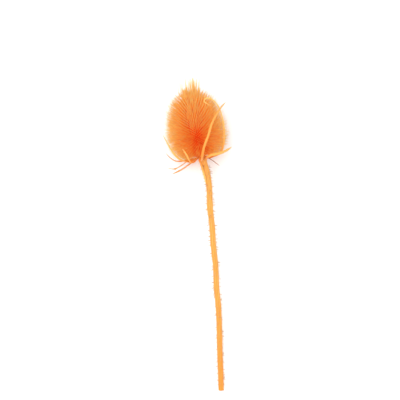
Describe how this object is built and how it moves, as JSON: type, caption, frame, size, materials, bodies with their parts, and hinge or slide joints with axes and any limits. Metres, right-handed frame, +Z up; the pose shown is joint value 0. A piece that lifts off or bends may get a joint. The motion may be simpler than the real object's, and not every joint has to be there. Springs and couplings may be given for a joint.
{
  "type": "teasel seed head",
  "caption": "Dried, dyed teasel seed head with stiff awns and long curved bracts on a cut prickly stem, lying on its side.",
  "frame": {"origin": "centre of the box that the part fills, on the surface it lies on", "axes": "+X from the tip of the head to the cut end of the stem, +Z up from the surface it lies on"},
  "size_m": [0.3154, 0.0684, 0.0599],
  "materials": {
    "head": "dry fibrous awns, dyed orange, paler at their tips",
    "stem": "dry ribbed stalk, dyed pale orange, with a slight sheen",
    "bract": "dry keeled leaf, dyed pale orange, with a slight sheen"
  },
  "bodies": {
    "root": {"seed_head": "head", "stem": "stem", "bract_front": "bract", "bract_curl": "bract", "bract_right": "bract", "bract_right_low": "bract", "bract_over_stem": "bract", "bract_kinked": "bract", "bract_left_long": "bract", "bract_left_down": "bract", "bract_left_mid": "bract", "bract_left_low": "bract", "bract_under_left": "bract", "bract_under_right": "bract"}
  },
  "joints": []
}
